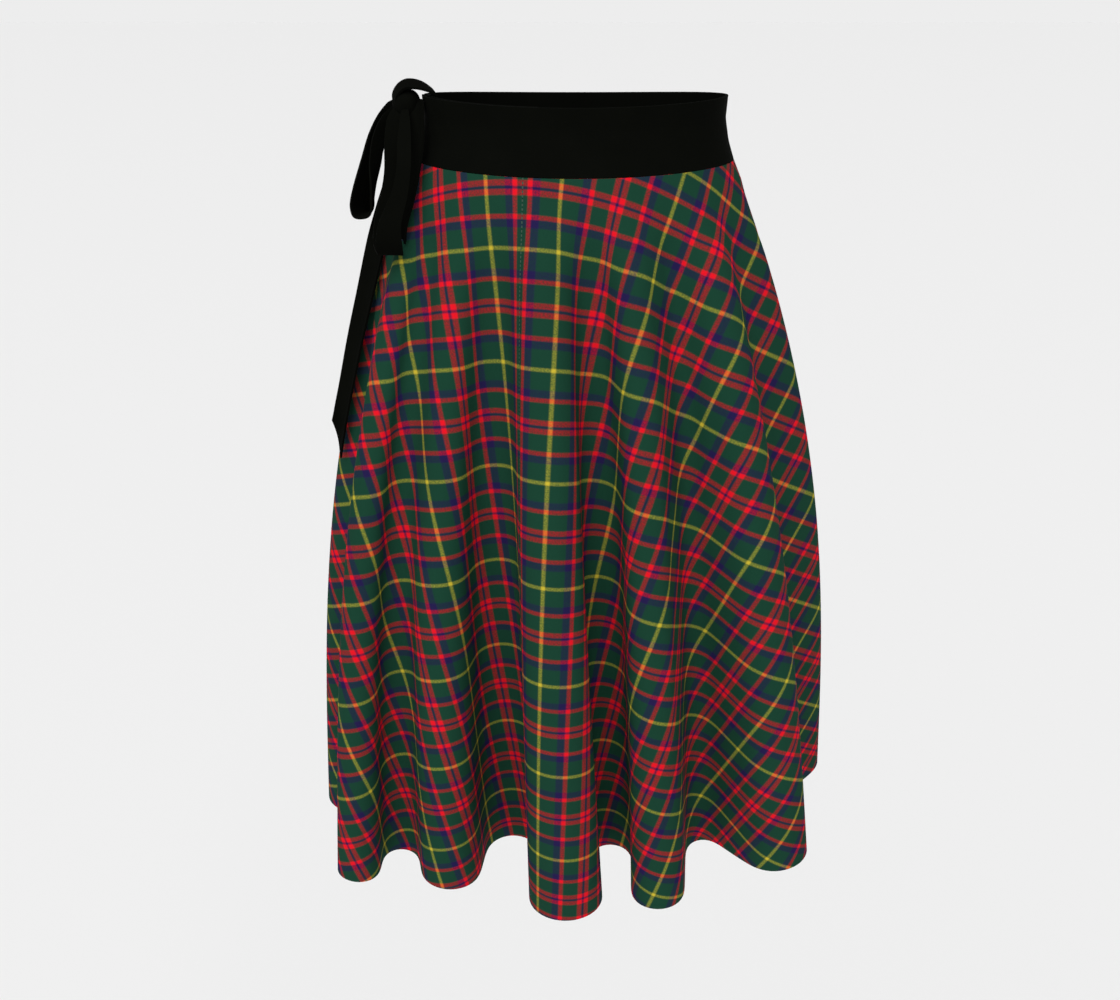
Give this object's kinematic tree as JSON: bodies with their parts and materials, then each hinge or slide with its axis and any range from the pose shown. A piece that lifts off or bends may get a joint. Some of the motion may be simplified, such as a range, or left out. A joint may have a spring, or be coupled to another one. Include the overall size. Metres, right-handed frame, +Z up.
{
  "type": "wrap skirt",
  "caption": "Knee-length flared wrap skirt in tartan with a plain waistband tied in a bow at one hip, open at waist and hem as if worn.",
  "frame": {"origin": "centre of the waist at mid height of the waistband", "axes": "+Z up towards the waist's rim, the front of the skirt faces -Y, the bow is on the -X hip"},
  "size_m": [0.527, 0.4037, 0.7277],
  "materials": {
    "tartan_cloth": "matt printed twill in red, green, navy and yellow tartan",
    "black_cloth": "plain matt black cloth"
  },
  "bodies": {
    "root": {"front_left_panel": "tartan_cloth", "front_right_panel": "tartan_cloth", "back_right_panel": "tartan_cloth", "back_left_panel": "tartan_cloth", "under_wrap_panel": "tartan_cloth", "waistband": "black_cloth", "tie_knot": "black_cloth", "over_strand": "black_cloth", "outer_loop": "black_cloth", "front_loop": "black_cloth", "long_tail": "black_cloth", "short_tail": "black_cloth"}
  },
  "joints": []
}
